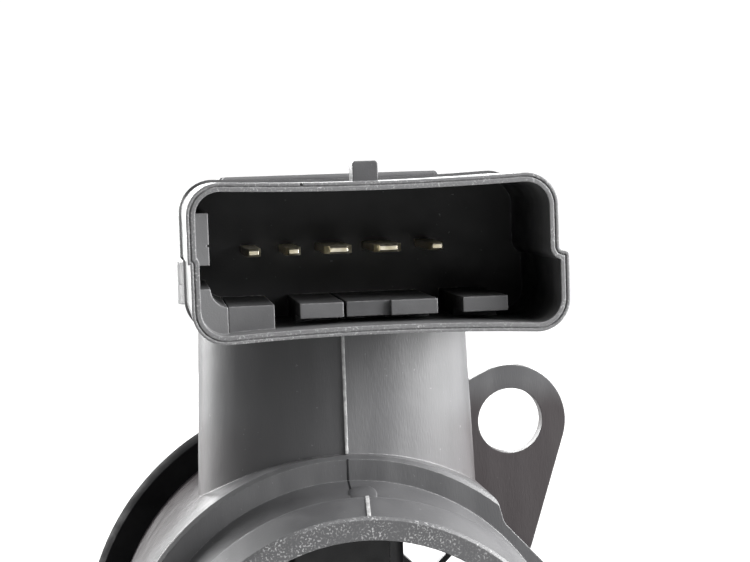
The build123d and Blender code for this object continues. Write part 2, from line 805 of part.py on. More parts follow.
# Bead of the air temperature sensor, moulded over the ends of its leads
with BuildPart() as temperature_bead:
    with Locations((0, tower_y, bead_sensor_z)):
        Sphere(bead_sensor_r)
    add(sensor_leads.part, mode=Mode.SUBTRACT)

# Board, notched round the screw pockets, with holes for the legs and the carrier
with BuildPart() as circuit_board:
    with BuildSketch(Plane.XY.offset(board_z)):
        add(box_outline.sketch)
        offset(amount=-(box_wall + board_fit), mode=Mode.REPLACE)
        with Locations((0, carrier_y)):
            Rectangle(carrier_thickness + 2 * carrier_slot_fit, carrier_length + 2 * carrier_slot_fit,
                      mode=Mode.SUBTRACT)
    extrude(amount=board_thickness)
    for terminal_part in terminals:
        add(terminal_part, mode=Mode.SUBTRACT)

# Parts soldered to the board
chip_place_x = (carrier_thickness + signal_chip_size) / 2 + carrier_slot_fit
with BuildPart() as signal_chip:
    with BuildSketch(Plane.XY.offset(board_top_z)):
        with Locations((chip_place_x + carrier_slot_fit, board_parts_y)):
            Rectangle(signal_chip_size - 2 * carrier_slot_fit, signal_chip_size)
    extrude(amount=signal_chip_height)

with BuildPart() as capacitors:
    with BuildSketch(Plane.XY.offset(board_top_z)):
        with Locations((-chip_place_x, board_parts_y)):
            with GridLocations(capacitor_length, capacitor_pitch, 1, capacitor_count):
                Rectangle(capacitor_length, capacitor_width)
    extrude(amount=capacitor_height)

duct_housing.part.label = "duct_housing"
inlet_seal.part.label = "inlet_seal"
inlet_grille.part.label = "inlet_grille"
retaining_ring.part.label = "retaining_ring"
module_body.part.label = "module_body"
sensor_probe.part.label = "sensor_probe"
module_cover.part.label = "module_cover"
module_screws.part.label = "module_screws"
stem_seal.part.label = "stem_seal"
probe_cover.part.label = "probe_cover"
sensor_carrier.part.label = "sensor_carrier"
sensing_chip.part.label = "sensing_chip"
sensor_leads.part.label = "sensor_leads"
temperature_bead.part.label = "temperature_bead"
circuit_board.part.label = "circuit_board"
signal_chip.part.label = "signal_chip"
capacitors.part.label = "capacitors"

for piece in (duct_housing, inlet_seal, inlet_grille, retaining_ring, module_body, sensor_probe,
              module_cover, module_screws, stem_seal, probe_cover, sensor_carrier, sensing_chip, sensor_leads,
              temperature_bead, circuit_board, signal_chip, capacitors):
    export_step(piece.part, f"parts/{piece.part.label}.step")
for terminal_part in terminals:
    export_step(terminal_part, f"parts/{terminal_part.label}.step")
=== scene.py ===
"""Dresses a mass airflow sensor: finishes, moulding marks, studio, lamps and camera.

Everything is in metres, in the frame of the CAD model. The duct runs along +Y, the tower
rises along +Z, and the outlet and the connector open towards -Y.
"""

from __future__ import annotations

import json
import logging
import math
import random
from dataclasses import dataclass
from enum import Enum

import bpy
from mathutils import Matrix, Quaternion, Vector

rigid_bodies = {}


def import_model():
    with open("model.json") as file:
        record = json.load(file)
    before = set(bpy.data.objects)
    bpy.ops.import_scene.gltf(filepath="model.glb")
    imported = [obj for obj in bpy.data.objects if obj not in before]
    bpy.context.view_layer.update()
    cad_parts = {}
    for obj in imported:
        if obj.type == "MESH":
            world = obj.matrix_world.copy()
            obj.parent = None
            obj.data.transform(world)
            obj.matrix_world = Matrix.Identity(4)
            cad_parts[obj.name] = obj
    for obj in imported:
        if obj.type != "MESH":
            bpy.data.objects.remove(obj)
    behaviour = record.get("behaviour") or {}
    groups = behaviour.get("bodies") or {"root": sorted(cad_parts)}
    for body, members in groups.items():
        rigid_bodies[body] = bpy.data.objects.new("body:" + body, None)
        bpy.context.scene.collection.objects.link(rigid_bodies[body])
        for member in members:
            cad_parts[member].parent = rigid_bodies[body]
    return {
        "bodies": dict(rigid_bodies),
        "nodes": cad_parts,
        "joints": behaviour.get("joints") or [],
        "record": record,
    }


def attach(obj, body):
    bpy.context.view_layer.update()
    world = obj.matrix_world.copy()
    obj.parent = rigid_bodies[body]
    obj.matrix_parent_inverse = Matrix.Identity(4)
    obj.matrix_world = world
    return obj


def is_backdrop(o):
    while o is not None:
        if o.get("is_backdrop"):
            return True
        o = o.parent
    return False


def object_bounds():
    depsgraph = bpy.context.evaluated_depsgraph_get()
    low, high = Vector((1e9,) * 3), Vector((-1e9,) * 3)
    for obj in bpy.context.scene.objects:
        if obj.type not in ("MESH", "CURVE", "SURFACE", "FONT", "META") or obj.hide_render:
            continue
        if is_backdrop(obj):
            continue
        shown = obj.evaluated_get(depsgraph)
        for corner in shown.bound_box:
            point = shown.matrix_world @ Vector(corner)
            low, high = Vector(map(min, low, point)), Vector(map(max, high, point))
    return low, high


LOG = logging.getLogger("airflow_sensor")
MM = 0.001
BODY = "root"
LIT_POINT = Vector((0, 0.02, 0.02))

Point = tuple[float, float, float]
Colour = tuple[float, float, float]
SCUFFED: Colour = (0.36, 0.36, 0.36)

# The sockets of the mix node that carry colours have no names of their own
MIX_SHARE, MIX_FROM, MIX_TO, MIX_RESULT = 0, 6, 7, 2

# How much two normals agree on a flat face and on an edge
FLAT_MATCH, EDGE_MATCH = 0.99, 0.9
EDGE_SAMPLES = 6

# The part of a noise's range that each pattern uses
CLOUDS = (0.35, 0.7)
SPECKS = (0.7, 0.76)
WORN_SPOTS = (0.4, 0.65)
ROUGH_SPOTS = (0.3, 0.75)
SCRATCHED_PATCHES = (0.4, 0.62)
SCRATCHES = (0.51, 0.66)

# Sizes of the patterns that all finishes share, in millimetres
WORN_SIZE = 0.5
PATCH_SIZE = 2.2
SCRATCH_SIZE = 0.22
SCRATCHED_DEPTH = (0.45, 0.1)


def mm(x: float, y: float, z: float) -> Vector:
    """Turns millimetres into a vector in metres."""
    return Vector((x, y, z)) * MM


class Surface(Enum):
    """How the surface of a finish is textured."""

    MOULDED = "moulded"
    RUBBER = "rubber"
    DRAWN_METAL = "drawn metal"
    CERAMIC = "ceramic"
    LAMINATE = "laminate"


class NodeGraph:
    """Builds the nodes of one material, all of them on Object coordinates."""

    def __init__(self, name: str) -> None:
        """Starts a material.

        Args:
            name: The name of the material.
        """
        self.material = bpy.data.materials.new(name)
        self.material.use_nodes = True
        self.nodes = self.material.node_tree.nodes
        self.links = self.material.node_tree.links
        self.shader = self.nodes["Principled BSDF"]
        self.place = self.nodes.new("ShaderNodeTexCoord").outputs["Object"]

    def stretched(self, stretch: Point) -> bpy.types.NodeSocket:
        """Coordinates drawn out along the axes.

        Args:
            stretch: How many times longer the pattern is along X, Y and Z.

        Returns:
            The stretched coordinates.
        """
        if stretch == (1.0, 1.0, 1.0):
            return self.place
        mapping = self.nodes.new("ShaderNodeMapping")
        mapping.inputs["Scale"].default_value = tuple(1 / s for s in stretch)
        self.links.new(self.place, mapping.inputs["Vector"])
        return mapping.outputs["Vector"]

    def noise(self, size: float, detail: float = 3.0, stretch: Point = (1.0, 1.0, 1.0)) -> bpy.types.NodeSocket:
        """Cloudy noise.

        Args:
            size: The size of its features, in millimetres.
            detail: How many finer layers it has.
            stretch: How the pattern is drawn out along the axes.

        Returns:
            The noise, from 0 to 1.
        """
        noise = self.nodes.new("ShaderNodeTexNoise")
        noise.inputs["Scale"].default_value = 1 / (size * MM)
        noise.inputs["Detail"].default_value = detail
        self.links.new(self.stretched(stretch), noise.inputs["Vector"])
        return noise.outputs["Fac"]

    def along(self, axis: str) -> bpy.types.NodeSocket:
        """The place along one axis, in metres.

        Args:
            axis: X, Y or Z.

        Returns:
            The coordinate.
        """
        split = self.nodes.new("ShaderNodeSeparateXYZ")
        self.links.new(self.place, split.inputs["Vector"])
        return split.outputs[axis]

    def between(self, value: bpy.types.NodeSocket, low: float, high: float, to_low: float = 0.0,
                to_high: float = 1.0) -> bpy.types.NodeSocket:
        """Maps a range of a value to another range, smoothly.

        Args:
            value: The value.
            low: Where the range starts.
            high: Where the range ends.
            to_low: The result at the start.
            to_high: The result at the end.

        Returns:
            The mapped value.
        """
        ramp = self.nodes.new("ShaderNodeMapRange")
        ramp.interpolation_type = "SMOOTHSTEP"
        for name, number in (("From Min", low), ("From Max", high), ("To Min", to_low), ("To Max", to_high)):
            ramp.inputs[name].default_value = number
        self.links.new(value, ramp.inputs["Value"])
        return ramp.outputs["Result"]

    def product(self, a: bpy.types.NodeSocket, b: bpy.types.NodeSocket | float) -> bpy.types.NodeSocket:
        """Multiplies two values.

        Args:
            a: The first value.
            b: The second value, a socket or a number.

        Returns:
            The product.
        """
        node = self.nodes.new("ShaderNodeMath")
        node.operation = "MULTIPLY"
        self.links.new(a, node.inputs[0])
        if isinstance(b, float):
            node.inputs[1].default_value = b
        else:
            self.links.new(b, node.inputs[1])
        return node.outputs["Value"]

    def blend(self, share: bpy.types.NodeSocket, a: Colour | bpy.types.NodeSocket, b: Colour) -> bpy.types.NodeSocket:
        """Blends from one colour to another.

        Args:
            share: How much of the second colour shows, from 0 to 1.
            a: The first colour, or a socket that carries it.
            b: The second colour.

        Returns:
            The blended colour.
        """
        mix = self.nodes.new("ShaderNodeMix")
        mix.data_type = "RGBA"
        self.links.new(share, mix.inputs[MIX_SHARE])
        if isinstance(a, tuple):
            mix.inputs[MIX_FROM].default_value = (*a, 1)
        else:
            self.links.new(a, mix.inputs[MIX_FROM])
        mix.inputs[MIX_TO].default_value = (*b, 1)
        return mix.outputs[MIX_RESULT]

    def rounded_edge(self, radius: float) -> tuple[bpy.types.NodeSocket, bpy.types.NodeSocket]:
        """Normals that round each edge, and how near an edge is.

        Args:
            radius: The radius of the rounding, in millimetres.

        Returns:
            The rounded normal, and a value that is 1 on an edge and 0 away from it.
        """
        bevel = self.nodes.new("ShaderNodeBevel")
        bevel.samples = EDGE_SAMPLES
        bevel.inputs["Radius"].default_value = radius * MM
        geometry = self.nodes.new("ShaderNodeNewGeometry")
        turn = self.nodes.new("ShaderNodeVectorMath")
        turn.operation = "DOT_PRODUCT"
        self.links.new(bevel.outputs["Normal"], turn.inputs[0])
        self.links.new(geometry.outputs["Normal"], turn.inputs[1])
        return bevel.outputs["Normal"], self.between(turn.outputs["Value"], FLAT_MATCH, EDGE_MATCH)

    def bump(self, height: bpy.types.NodeSocket, depth: float,
             normal: bpy.types.NodeSocket | None = None) -> bpy.types.NodeSocket:
        """Bumps the surface.

        Args:
            height: The height, from 0 to 1.
            depth: The depth of the bumps, in millimetres.
            normal: The normal that the bumps start from.

        Returns:
            The bumped normal.
        """
        bump = self.nodes.new("ShaderNodeBump")
        bump.inputs["Distance"].default_value = depth * MM
        self.links.new(height, bump.inputs["Height"])
        if normal is not None:
            self.links.new(normal, bump.inputs["Normal"])
        return bump.outputs["Normal"]


@dataclass(frozen=True)
class Finish:
    """One finish of the object, made as a node material.

    Sizes are in millimetres and colours are linear. front is a painted light, the colour ahead of front_to,
    which stands in for the light on the faces at the mouths, and rear is a painted shade, the darker colour
    behind rear_to and under rear_top, which stands in for the shade at the back and in the hollows. Each of
    them fades into the base over a short way.
    """

    name: str
    surface: Surface
    base: Colour
    cloud: Colour
    speck: Colour
    roughness: float
    specular: float = 0.5
    metallic: float = 0.0
    cloud_size: float = 5.0
    grain_size: float = 0.16
    grain_depth: float = 0.012
    speck_size: float = 0.5
    speck_share: float = 0.3
    edge_radius: float = 0.18
    edge_wear: float = 0.35
    front_scuff: float = 0.0
    front: Colour | None = None
    front_from: float = 3.2
    front_to: float = 1.0
    rear: Colour | None = None
    rear_from: float = 14.0
    rear_to: float = 24.0
    rear_top: float = 30.0
    rear_fade: float = 4.0
    draw: Point = (1.0, 1.0, 1.0)

    def make(self) -> bpy.types.Material:
        """Builds the material.

        Returns:
            The material.
        """
        graph = NodeGraph(self.name)
        clouds = graph.between(graph.noise(self.cloud_size, 4, self.draw), *CLOUDS)
        colour = graph.blend(clouds, self.base, self.cloud)
        # Painted light: towards the mouth the colour turns into front, which stands in for the light on the faces
        # there.
        if self.front is not None:
            ahead = graph.between(graph.along("Y"), self.front_from * MM, self.front_to * MM)
            colour = graph.blend(ahead, colour, self.front)
        # Painted shade: behind rear_from and below rear_top the colour turns into the darker rear, which stands in
        # for shade at the back and in the hollows.
        if self.rear is not None:
            low = graph.between(graph.along("Z"), self.rear_top * MM, (self.rear_top - self.rear_fade) * MM)
            behind = graph.between(graph.along("Y"), self.rear_from * MM, self.rear_to * MM)
            behind = graph.product(behind, low)
            colour = graph.blend(behind, colour, self.rear)
        specks = graph.between(graph.noise(self.speck_size, 6), *SPECKS, 0.0, self.speck_share)
        colour = graph.blend(specks, colour, self.speck)
        normal, edge = graph.rounded_edge(self.edge_radius)
        scuffs = graph.between(graph.noise(WORN_SIZE, 4), *WORN_SPOTS, 0.25, 1.0)
        worn = graph.product(graph.product(edge, scuffs), self.edge_wear)
        colour = graph.blend(worn, colour, self.speck)
        if self.front_scuff > 0:
            colour = graph.blend(self.scuffs(graph), colour, SCUFFED)
        graph.links.new(colour, graph.shader.inputs["Base Color"])

        grain = graph.noise(self.grain_size, 2, self.draw)
        spread = graph.noise(self.cloud_size * 0.5, 3, self.draw)
        rough = graph.between(spread, *ROUGH_SPOTS, self.roughness * 0.85, min(1.0, self.roughness * 1.2))
        graph.links.new(rough, graph.shader.inputs["Roughness"])
        normal = graph.bump(grain, self.grain_depth, normal)
        if self.surface in (Surface.MOULDED, Surface.RUBBER):
            normal = graph.bump(graph.noise(self.cloud_size * 0.6, 2), self.grain_depth * 2.5, normal)
        graph.links.new(normal, graph.shader.inputs["Normal"])
        graph.shader.inputs["Metallic"].default_value = self.metallic
        graph.shader.inputs["Specular IOR Level"].default_value = self.specular
        return graph.material

    def scuffs(self, graph: NodeGraph) -> bpy.types.NodeSocket:
        """Pale scratches on the faces that lie in the plane of the mouths.

        Args:
            graph: The nodes to add to.

        Returns:
            How scratched the surface is, from 0 to 1.
        """
        in_plane = graph.between(graph.along("Y"), *(depth * MM for depth in SCRATCHED_DEPTH))
        patches = graph.between(graph.noise(PATCH_SIZE, 3), *SCRATCHED_PATCHES, 0.15, 1.0)
        flakes = graph.between(graph.noise(SCRATCH_SIZE, 8), *SCRATCHES, 0.0, self.front_scuff)
        return graph.product(graph.product(flakes, patches), in_plane)


@dataclass(frozen=True)
class Finishes:
    """The finishes of all the pieces, by the slot that they belong to."""

    # Painted shade: rear darkens the duct behind the shoulder below the connector, the lug included; front, a painted
    # light near the base tone, covers the rim face of the mouth.
    housing_plastic: Finish = Finish(
        "housing_plastic", Surface.MOULDED, (0.052, 0.052, 0.054), (0.068, 0.068, 0.070), (0.30, 0.30, 0.30), 0.43,
        specular=0.42, draw=(1.0, 1.0, 5.0), front_scuff=0.75, front=(0.055, 0.055, 0.057), front_from=0.5,
        front_to=0.2, rear=(0.0235, 0.0195, 0.0205))
    # Painted light and shade: front makes the faces at the connector's mouth paler, and rear darkens all that lies
    # deeper than 5 to 12 mm, the inside of the cavity included.
    module_plastic: Finish = Finish(
        "module_plastic", Surface.MOULDED, (0.052, 0.052, 0.054), (0.068, 0.068, 0.070), (0.30, 0.30, 0.305), 0.43,
        specular=0.32, edge_wear=0.5, front_scuff=0.7, front=(0.105, 0.105, 0.107), front_from=4.2, front_to=2.6,
        rear=(0.016, 0.016, 0.017), rear_from=5.0, rear_to=12.0, rear_top=200.0)
    # Painted highlight: a pale copy of the plastic for the tower seam and the bead flash, which stands in for the
    # light that these raised lines catch.
    flash_plastic: Finish = Finish(
        "flash_plastic", Surface.MOULDED, (0.20, 0.20, 0.20), (0.34, 0.34, 0.34), (0.5, 0.5, 0.5), 0.5,
        cloud_size=0.8, edge_radius=0.05)
    # Painted shadow: a near-black copy of the plastic for the strips along the parting lines, which stands in for the
    # shade along them.
    witness_line: Finish = Finish(
        "witness_line", Surface.MOULDED, (0.008, 0.008, 0.009), (0.014, 0.014, 0.015), (0.06, 0.06, 0.06), 0.6,
        specular=0.2, edge_radius=0.05)
    cover_plastic: Finish = Finish(
        "cover_plastic", Surface.MOULDED, (0.055, 0.055, 0.057), (0.07, 0.07, 0.072), (0.24, 0.24, 0.24), 0.45,
        specular=0.3)
    seal_rubber: Finish = Finish(
        "seal_rubber", Surface.RUBBER, (0.003, 0.003, 0.0035), (0.006, 0.006, 0.0065), (0.02, 0.02, 0.02), 0.75,
        specular=0.12, edge_wear=0.1)
    grille_plastic: Finish = Finish(
        "grille_plastic", Surface.MOULDED, (0.16, 0.16, 0.163), (0.2, 0.2, 0.203), (0.3, 0.3, 0.3), 0.45,
        edge_radius=0.1)
    spring_steel: Finish = Finish(
        "spring_steel", Surface.DRAWN_METAL, (0.42, 0.42, 0.43), (0.5, 0.5, 0.5), (0.62, 0.62, 0.6), 0.32,
        metallic=1.0, grain_size=0.08, grain_depth=0.004, cloud_size=2.0)
    screw_steel: Finish = Finish(
        "screw_steel", Surface.DRAWN_METAL, (0.45, 0.45, 0.46), (0.56, 0.55, 0.5), (0.7, 0.7, 0.68), 0.35,
        metallic=1.0, grain_size=0.08, grain_depth=0.005, cloud_size=1.5)
    terminal_brass: Finish = Finish(
        "terminal_brass", Surface.DRAWN_METAL, (0.74, 0.67, 0.48), (0.82, 0.77, 0.62), (0.92, 0.9, 0.84), 0.34,
        metallic=1.0, grain_size=0.1, grain_depth=0.004, cloud_size=1.2, edge_radius=0.1, edge_wear=0.8,
        draw=(1.0, 8.0, 1.0))
    board_laminate: Finish = Finish(
        "board_laminate", Surface.LAMINATE, (0.01, 0.07, 0.03), (0.015, 0.1, 0.045), (0.3, 0.3, 0.2), 0.3)
    chip_plastic: Finish = Finish(
        "chip_plastic", Surface.MOULDED, (0.012, 0.012, 0.013), (0.018, 0.018, 0.019), (0.1, 0.1, 0.1), 0.5)
    capacitor_ceramic: Finish = Finish(
        "capacitor_ceramic", Surface.CERAMIC, (0.28, 0.18, 0.09), (0.34, 0.22, 0.12), (0.6, 0.6, 0.6), 0.35)
    carrier_ceramic: Finish = Finish(
        "carrier_ceramic", Surface.CERAMIC, (0.66, 0.64, 0.58), (0.72, 0.7, 0.66), (0.5, 0.48, 0.42), 0.35)
    film_silicon: Finish = Finish(
        "film_silicon", Surface.CERAMIC, (0.03, 0.04, 0.09), (0.04, 0.06, 0.13), (0.3, 0.3, 0.35), 0.18)
    lead_wire: Finish = Finish(
        "lead_wire", Surface.DRAWN_METAL, (0.5, 0.49, 0.46), (0.6, 0.59, 0.55), (0.7, 0.7, 0.7), 0.32,
        metallic=1.0, grain_size=0.08, grain_depth=0.004, cloud_size=1.0)
    bead_epoxy: Finish = Finish(
        "bead_epoxy", Surface.CERAMIC, (0.012, 0.012, 0.014), (0.02, 0.02, 0.022), (0.1, 0.1, 0.1), 0.25)


class Wardrobe:
    """Makes each finish once and hands it out."""

    def __init__(self, finishes: Finishes) -> None:
        """Keeps the finishes.

        Args:
            finishes: The finishes, by slot.
        """
        self.finishes = finishes
        self.made: dict[str, bpy.types.Material] = {}

    def get(self, slot: str) -> bpy.types.Material:
        """The material of a slot, made when it is first asked for.

        Args:
            slot: The slot.

        Returns:
            The material.
        """
        if slot not in self.made:
            self.made[slot] = getattr(self.finishes, slot).make()
        return self.made[slot]

    def dress(self, thing: bpy.types.Object, slot: str) -> None:
        """Gives an object the one material of a slot.

        Args:
            thing: The object.
            slot: The slot.
        """
        thing.data.materials.clear()
        thing.data.materials.append(self.get(slot))


class Bench:
    """Modelling steps that the sub-assemblies share."""

    @staticmethod
    def clear() -> None:
        """Deselects everything."""
        bpy.ops.object.select_all(action="DESELECT")

    @staticmethod
    def outline(name: str, points: list[Vector], depth: Vector) -> bpy.types.Object:
        """A solid with a flat outline, drawn point by point and extruded.

        Args:
            name: The name of the piece.
            points: The corners of the outline, in order, in metres.
            depth: The way and how far the outline is extruded.

        Returns:
            The solid, at the origin.
        """
        Bench.clear()
        bpy.ops.mesh.primitive_plane_add(size=MM, location=points[0])
        thing = bpy.context.object
        thing.name = name
        bpy.ops.object.mode_set(mode="EDIT")
        bpy.ops.mesh.merge(type="CENTER")
        for start, end in zip(points, points[1:]):
            bpy.ops.mesh.extrude_region_move(TRANSFORM_OT_translate={"value": end - start})
        bpy.ops.mesh.select_all(action="SELECT")
        bpy.ops.mesh.edge_face_add()
        bpy.ops.mesh.extrude_region_move(TRANSFORM_OT_translate={"value": depth})
        bpy.ops.mesh.select_all(action="SELECT")
        bpy.ops.mesh.normals_make_consistent(inside=False)
        bpy.ops.object.mode_set(mode="OBJECT")
        return Bench.settle(thing)

    @staticmethod
    def settle(thing: bpy.types.Object) -> bpy.types.Object:
        """Moves an object's place into its mesh.

        Args:
            thing: The object.

        Returns:
            The same object, at the origin.
        """
        Bench.clear()
        thing.select_set(True)
        bpy.context.view_layer.objects.active = thing
        bpy.ops.object.transform_apply(location=True, rotation=True, scale=True)
        return thing

    @staticmethod
    def bevel(thing: bpy.types.Object, width: float, segments: int = 2) -> None:
        """Bevels the sharp edges of an object and shades it.

        Args:
            thing: The object.
            width: The width of the bevel, in millimetres.
            segments: How many faces cross it.
        """
        Bench.clear()
        thing.select_set(True)
        bpy.context.view_layer.objects.active = thing
        modifier = thing.modifiers.new("edges", "BEVEL")
        modifier.width = width * MM
        modifier.segments = segments
        bpy.ops.object.modifier_apply(modifier=modifier.name)
        bpy.ops.object.shade_smooth_by_angle(angle=math.radians(40))

    @staticmethod
    def report(thing: bpy.types.Object, slot: str, wardrobe: Wardrobe, finish: str = "") -> None:
        """Dresses a new piece, makes it ride on the body and logs it.

        Args:
            thing: The piece.
            slot: The slot that it belongs to.
            wardrobe: The made finishes.
            finish: The finish that it has, where it isn't the slot's own.
        """
        wardrobe.dress(thing, finish or slot)
        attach(thing, BODY)
        LOG.info("piece %s, %d faces, %s", thing.name, len(thing.data.polygons), slot)


@dataclass
class MouldMarks:
    """Flash and witness lines that the mould halves leave on the duct, in millimetres, dressed with a painted
    highlight on the seam and flash and a painted shadow on the lines.
    """

    seam_width: float = 0.34
    seam_height: float = 0.17
    seam_waver: float = 0.07
    seam_step: float = 0.5
    seam_low_z: float = 25.3
    seam_high_z: float = 37.6
    sink: float = 0.5
    seed: int = 7
    head: tuple[float, float] = (14.5, 43.2)
    foot: tuple[float, float] = (14.1, 14.0)
    spigot_r: float = 21.3
    bead_r: float = 22.4
    bead_crest: tuple[float, float] = (4.2, 4.7)
    bead_back_y: float = 5.7
    cove_start_y: float = 8.4
    cove_r: float = 22.6
    shoulder_y: float = 13.4
    body_r: float = 25.2
    body_end_y: float = 38.8
    line_width: float = 0.2
    line_height: float = 0.03
    flash_width: float = 0.36
    flash_height: float = 0.1
    flash_lean: tuple[float, float] = (0.47, 0.95)
    cove_lean: tuple[float, float] = (0.3, 0.0)
    scar_place: tuple[float, float, float] = (1.15, 11.0, 21.6)
    scar_size: tuple[float, float, float] = (1.5, 2.2, 0.24)
    scar_tilt: float = 14.7

    def build(self, wardrobe: Wardrobe) -> None:
        """Builds the marks.

        Args:
            wardrobe: The made finishes.
        """
        # Painted highlight: the tower seam and the bead flash are dressed pale.
        Bench.report(self.tower_seam(), "housing_plastic", wardrobe, "flash_plastic")
        for side, name in ((1, "upper"), (-1, "lower")):
            Bench.report(self.bead_flash(f"{name}_bead_flash", side), "housing_plastic", wardrobe, "flash_plastic")
            # Painted shadow: the cove, shoulder and body lines are dressed near-black.
            Bench.report(self.cove_line(f"{name}_cove_line", side), "housing_plastic", wardrobe, "witness_line")
            Bench.report(self.shoulder_line(f"{name}_shoulder_line", side), "housing_plastic", wardrobe,
                         "witness_line")
        Bench.report(self.body_line(), "housing_plastic", wardrobe, "witness_line")
        Bench.report(self.gate_scar(), "housing_plastic", wardrobe)

    def ridge_y(self, z: float) -> float:
        """How far back the ridge of the tower stands at a height, both in millimetres."""
        share = (z - self.foot[1]) / (self.head[1] - self.foot[1])
        return self.foot[0] + share * (self.head[0] - self.foot[0])

    def spigot_profile(self, y: float) -> float:
        """The outer radius of the spigot.

        Args:
            y: The distance from the mouth, in millimetres.

        Returns:
            The radius, in millimetres.
        """
        if y < self.bead_crest[0]:
            return self.spigot_r + (self.bead_r - self.spigot_r) * y / self.bead_crest[0]
        if y < self.bead_crest[1]:
            return self.bead_r
        if y < self.bead_back_y:
            share = (y - self.bead_crest[1]) / (self.bead_back_y - self.bead_crest[1])
            return self.bead_r + (self.spigot_r - self.bead_r) * share
        if y < self.cove_start_y:
            return self.spigot_r
        rise, run = self.cove_r - self.spigot_r, self.shoulder_y - self.cove_start_y
        arc_r = (rise**2 + run**2) / (2 * rise)
        return self.spigot_r + arc_r - math.sqrt(arc_r**2 - (y - self.cove_start_y) ** 2)

    def tower_seam(self) -> bpy.types.Object:
        """The raised line that runs down the ridge of the tower.

        Returns:
            The seam.
        """
        chance = random.Random(self.seed)
        steps = round((self.seam_high_z - self.seam_low_z) / self.seam_step)
        crest = []
        for step in range(steps + 1):
            z = self.seam_low_z + step * self.seam_step
            y = self.ridge_y(z) - self.seam_height + chance.uniform(-1, 1) * self.seam_waver
            crest.append(mm(-self.seam_width / 2, y, z))
        root_y = self.head[0] + self.sink
        points = [*crest, mm(-self.seam_width / 2, root_y, self.seam_high_z),
                  mm(-self.seam_width / 2, root_y, self.seam_low_z)]
        seam = Bench.outline("tower_seam", points, mm(self.seam_width, 0, 0))
        Bench.bevel(seam, 0.05)
        return seam

    def fin(self, name: str, side: int, start_y: float, end_y: float, step: float, width: float, height: float,
            waver: float, lean: tuple[float, float]) -> bpy.types.Object:
        """A thin line that follows the outside of the spigot.

        Args:
            name: The name of the piece.
            side: 1 for the top of the duct and -1 for the bottom.
            start_y: Where it starts, in millimetres from the mouth.
            end_y: Where it ends.
            step: The distance between its points.
            width: Its width.
            height: How proud it stands.
            waver: How ragged it is.
            lean: How far to the right its start and its end stand.

        Returns:
            The line.
        """
        chance = random.Random(self.seed)
        count = max(2, round((end_y - start_y) / step))
        crest = []
        for number in range(count + 1):
            y = start_y + (end_y - start_y) * number / count
            reach = self.spigot_profile(y) + height + chance.uniform(0, 1) * waver
            crest.append(mm(lean[0] + (lean[1] - lean[0]) * number / count - width / 2, y, side * reach))
        root = side * (self.spigot_profile(start_y) - self.sink)
        points = [*crest, mm(lean[1] - width / 2, end_y, root), mm(lean[0] - width / 2, start_y, root)]
        line = Bench.outline(name, points, mm(width, 0, 0))
        Bench.bevel(line, min(height, width) / 4)
        return line

    def bead_flash(self, name: str, side: int) -> bpy.types.Object:
        """Ragged flash over the hose bead, on the side given by 1 or -1."""
        return self.fin(name, side, 0.35, self.bead_back_y, 0.25, self.flash_width, 0.02, self.flash_height,
                        self.flash_lean)

    def cove_line(self, name: str, side: int) -> bpy.types.Object:
        """The strip along the witness line between the bead and the shoulder, which build dresses near-black as a
        painted shadow, on the side given by 1 or -1.
        """
        return self.fin(name, side, self.bead_back_y + 0.05, self.shoulder_y - 0.02, 0.5, self.line_width,
                        self.line_height, 0.0, self.cove_lean)

    def gate_scar(self) -> bpy.types.Object:
        """The low oval pip that the mould's gate leaves between the bead and the shoulder.

        Returns:
            The pip.
        """
        Bench.clear()
        bpy.ops.mesh.primitive_uv_sphere_add(segments=48, ring_count=24, radius=MM)
        scar = bpy.context.object
        scar.name = "gate_scar"
        scar.scale = self.scar_size
        scar.rotation_euler = (math.radians(self.scar_tilt), 0, 0)
        scar.location = mm(*self.scar_place)
        return Bench.settle(scar)

    def shoulder_line(self, name: str, side: int) -> bpy.types.Object:
        """The strip along the witness line across the face of the shoulder, which build dresses near-black as a
        painted shadow.

        Args:
            name: The name of the piece.
            side: 1 for the top of the duct and -1 for the bottom.

        Returns:
            The line.
        """
        half = self.line_width / 2
        front, back = self.shoulder_y - self.line_height, self.shoulder_y + self.sink
        low, high = side * (self.cove_r + 0.05), side * (self.body_r - 0.35)
        points = [mm(-half, front, low), mm(-half, front, high), mm(-half, back, high), mm(-half, back, low)]
        line = Bench.outline(name, points, mm(self.line_width, 0, 0))
        Bench.bevel(line, self.line_height / 4)
        return line

    def body_line(self) -> bpy.types.Object:
        """The strip along the witness line on the bottom of the body, which build dresses near-black as a painted
        shadow.

        Returns:
            The line.
        """
        half = self.line_width / 2
        crest, root = -(self.body_r + self.line_height), -(self.body_r - self.sink)
        start, end = self.shoulder_y + 0.5, self.body_end_y - 0.1
        points = [mm(-half, start, crest), mm(-half, end, crest), mm(-half, end, root), mm(-half, start, root)]
        line = Bench.outline("body_line", points, mm(self.line_width, 0, 0))
        Bench.bevel(line, self.line_height / 4)
        return line


@dataclass
class SensorDress:
    """Gives each node of the CAD model the material of its slot."""

    def build(self, frame: dict, wardrobe: Wardrobe) -> None:
        """Dresses the nodes.

        Args:
            wardrobe: The made finishes.
        """
        for entry in frame["record"]["subparts"]:
            node = frame["nodes"][entry["node"]]
            wardrobe.dress(node, entry["material_slot"])
            LOG.info("node %s, %s", entry["node"], entry["material_slot"])


def around(azimuth: float, elevation: float, distance: float) -> Vector:
    """A place round the object.

    Args:
        azimuth: The angle from -Y towards +X, in degrees.
        elevation: The angle above the level, in degrees.
        distance: How far it is from the lit point, in metres.

    Returns:
        The place, in metres.
    """
    side, rise = math.radians(azimuth), math.radians(elevation)
    level = distance * math.cos(rise)
    return LIT_POINT + Vector((level * math.sin(side), -level * math.cos(side), distance * math.sin(rise)))


